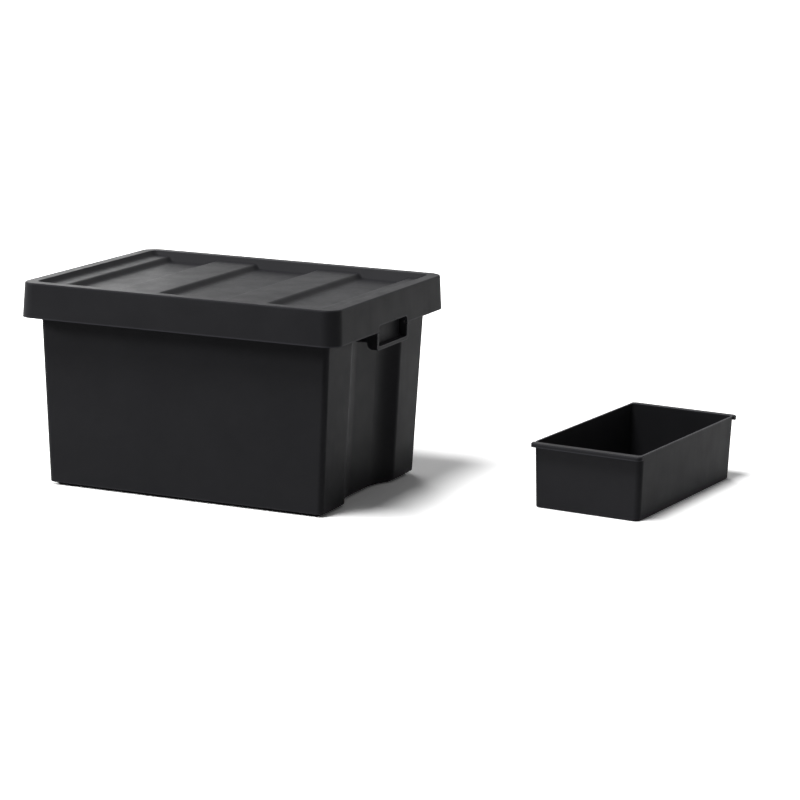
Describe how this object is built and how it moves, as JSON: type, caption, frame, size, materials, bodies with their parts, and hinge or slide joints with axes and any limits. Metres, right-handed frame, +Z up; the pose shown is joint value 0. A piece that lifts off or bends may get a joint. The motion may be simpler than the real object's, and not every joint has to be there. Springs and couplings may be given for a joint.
{
  "type": "storage container with tray",
  "caption": "Tapered plastic storage container with a deep lift-off lid, a moulded grip pocket in each end, and a loose open tray that hangs across its inside by end flanges.",
  "frame": {"origin": "middle of the container's flat foot, on the surface it stands on", "axes": "+Z up, +X along the container's length towards the end that the tray stands near, +Y across its width, away from the viewer of the picture"},
  "size_m": [0.7232, 0.464, 0.2387],
  "materials": {
    "container_plastic": "satin moulded black polypropylene",
    "lid_plastic": "satin moulded black polypropylene",
    "tray_plastic": "satin moulded black polypropylene"
  },
  "bodies": {
    "container": {"container": "container_plastic"},
    "lid": {"lid": "lid_plastic"},
    "tray": {"tray": "tray_plastic"}
  },
  "joints": [
    {"name": "lid_lift", "type": "slide", "parent": "container", "child": "lid", "axis": [0, 0, 1], "range_m": [0, 0.15]},
    {"name": "tray_lift", "type": "slide", "parent": "container", "child": "tray", "axis": [0, 0, 1], "range_m": [0, 0.24]}
  ]
}
